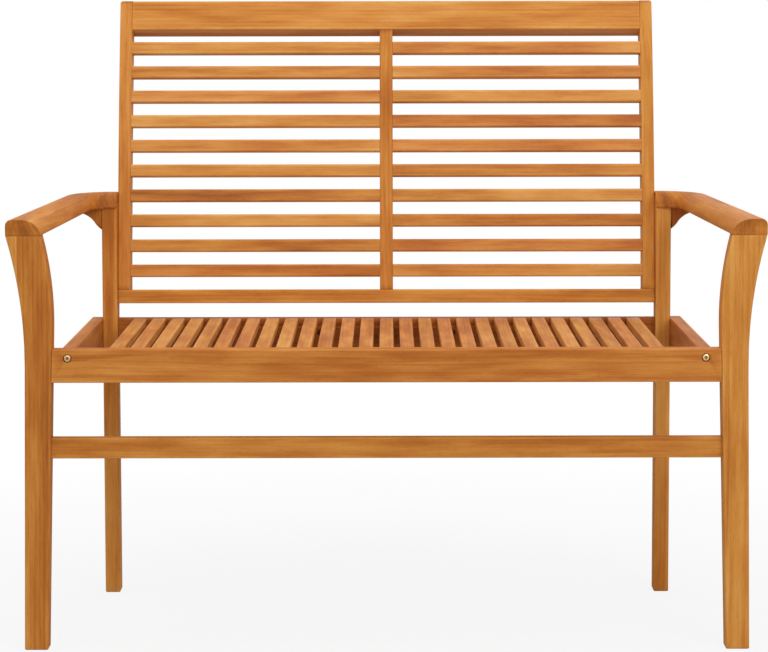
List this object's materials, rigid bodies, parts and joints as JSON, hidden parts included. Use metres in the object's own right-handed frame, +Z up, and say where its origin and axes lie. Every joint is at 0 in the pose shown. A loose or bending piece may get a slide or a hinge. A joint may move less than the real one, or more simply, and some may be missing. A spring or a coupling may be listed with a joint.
{
  "type": "garden bench",
  "caption": "Slatted teak garden bench with outward-curving front legs, bent domed armrests, a seat of narrow slats and a leaning, gently curved slatted back.",
  "frame": {"origin": "on the ground, midway between the armrests and midway between the front faces of the front legs and the rearmost edge of the back", "axes": "+X to the right as seen from the front, +Y from the front to the back, +Z up"},
  "size_m": [1.1124, 0.5786, 0.957],
  "materials": {
    "teak_frame": "oiled, satin",
    "teak_slats": "oiled, satin",
    "zinc_plated_steel": "yellow zinc plated"
  },
  "bodies": {
    "root": {"front_leg_left": "teak_frame", "front_leg_right": "teak_frame", "rear_leg_left": "teak_frame", "rear_leg_right": "teak_frame", "armrest_left": "teak_frame", "armrest_right": "teak_frame", "arm_bracket_left": "teak_frame", "arm_bracket_right": "teak_frame", "front_rail": "teak_frame", "seat_side_rail_left": "teak_frame", "seat_side_rail_right": "teak_frame", "rear_rail": "teak_frame", "seat_cleats": "teak_frame", "centre_bearer": "teak_frame", "front_stretcher": "teak_frame", "back_stile_left": "teak_frame", "back_stile_right": "teak_frame", "back_bottom_rail": "teak_frame", "back_top_rail": "teak_frame", "back_muntin": "teak_frame", "seat_slat_01": "teak_slats", "seat_slat_02": "teak_slats", "seat_slat_03": "teak_slats", "seat_slat_04": "teak_slats", "seat_slat_05": "teak_slats", "seat_slat_06": "teak_slats", "seat_slat_07": "teak_slats", "seat_slat_08": "teak_slats", "seat_slat_09": "teak_slats", "seat_slat_10": "teak_slats", "seat_slat_11": "teak_slats", "seat_slat_12": "teak_slats", "seat_slat_13": "teak_slats", "seat_slat_14": "teak_slats", "seat_slat_15": "teak_slats", "seat_slat_16": "teak_slats", "seat_slat_17": "teak_slats", "seat_slat_18": "teak_slats", "seat_slat_19": "teak_slats", "seat_slat_20": "teak_slats", "seat_slat_21": "teak_slats", "seat_slat_22": "teak_slats", "seat_slat_23": "teak_slats", "seat_slat_24": "teak_slats", "seat_slat_25": "teak_slats", "seat_slat_26": "teak_slats", "seat_slat_27": "teak_slats", "back_slat_row_01": "teak_slats", "back_slat_row_02": "teak_slats", "back_slat_row_03": "teak_slats", "back_slat_row_04": "teak_slats", "back_slat_row_05": "teak_slats", "back_slat_row_06": "teak_slats", "back_slat_row_07": "teak_slats", "back_slat_row_08": "teak_slats", "back_slat_row_09": "teak_slats", "back_slat_row_10": "teak_slats", "frame_bolts": "zinc_plated_steel", "barrel_nuts": "zinc_plated_steel", "wood_screws": "zinc_plated_steel"}
  },
  "joints": []
}
